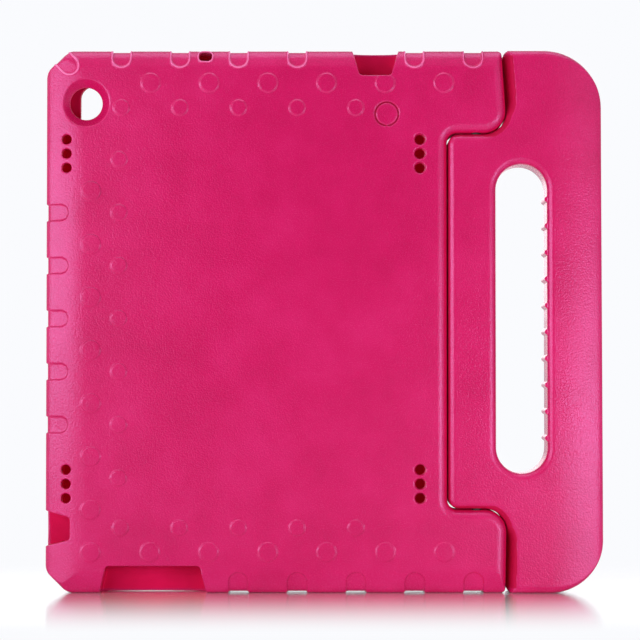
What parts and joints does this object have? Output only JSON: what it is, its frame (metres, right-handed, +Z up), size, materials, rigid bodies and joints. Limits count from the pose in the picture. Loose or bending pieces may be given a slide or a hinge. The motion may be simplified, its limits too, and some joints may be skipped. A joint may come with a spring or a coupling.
{
  "type": "kids tablet case",
  "caption": "Chunky moulded foam tablet case for a child, with a slotted carry handle at one side that turns back on hidden pins to make a stand.",
  "frame": {"origin": "middle of the bottom of the case, where it stands on its bottom edge", "axes": "+X runs across the case towards the handle, +Y from the back panel to the screen side, +Z up along the handle's pins"},
  "size_m": [0.266, 0.024, 0.259],
  "materials": {
    "tray_foam": "satin moulded EVA foam with a fine leather-like grain",
    "handle_foam": "satin moulded EVA foam with a fine leather-like grain",
    "pin_nylon": "plain black nylon"
  },
  "bodies": {
    "case": {"case_tray": "tray_foam", "upper_pivot_pin": "pin_nylon", "lower_pivot_pin": "pin_nylon"},
    "handle": {"carry_handle": "handle_foam"}
  },
  "joints": [
    {"name": "handle_swing", "type": "hinge", "parent": "case", "child": "handle", "pos_m": [0.0728, -0.0055, 0], "axis": [0, 0, -1], "range_deg": [0, 130]}
  ]
}
